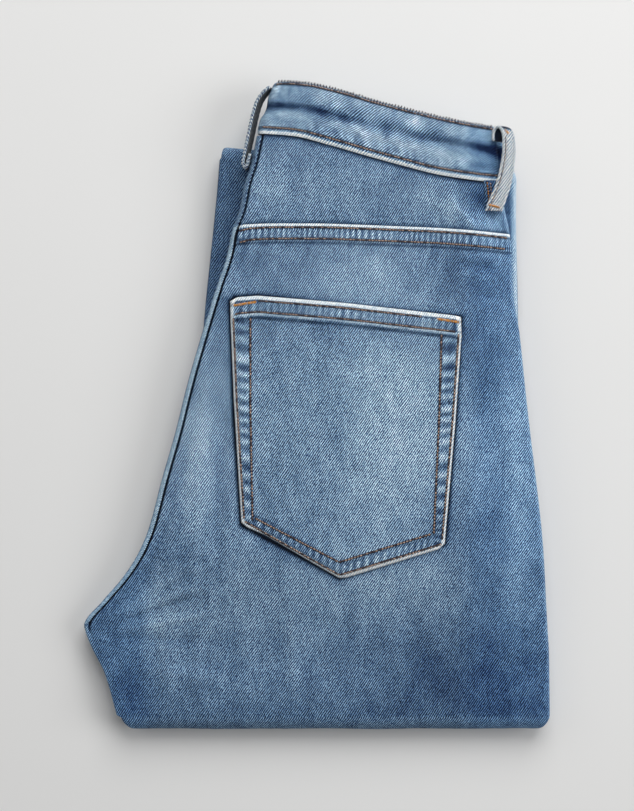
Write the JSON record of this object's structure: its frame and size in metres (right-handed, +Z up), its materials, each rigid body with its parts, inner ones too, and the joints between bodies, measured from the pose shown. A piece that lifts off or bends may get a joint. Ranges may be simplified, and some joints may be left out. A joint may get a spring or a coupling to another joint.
{
  "type": "folded slim jeans",
  "caption": "Slim stretch-denim jeans folded in half lengthwise with the backs outward and the legs folded under, lying flat.",
  "frame": {"origin": "middle of the folded outline, on the surface that it lies on", "axes": "+Y toward the waist, +X toward the side seams, +Z up, away from the surface"},
  "size_m": [0.3003, 0.4157, 0.0402],
  "materials": {
    "denim_blue": "faded twill",
    "denim_inside": "twill, less worn",
    "denim_faded": "well worn twill"
  },
  "bodies": {
    "root": {"right_back_panel": "denim_blue", "left_back_panel": "denim_blue", "front_layers": "denim_inside", "right_yoke": "denim_blue", "left_yoke": "denim_blue", "waistband": "denim_blue", "right_back_pocket": "denim_faded", "belt_loop_centre_back": "denim_faded", "belt_loop_right_side": "denim_faded", "belt_loop_left_side": "denim_faded", "right_hem": "denim_inside", "left_hem": "denim_inside"}
  },
  "joints": []
}
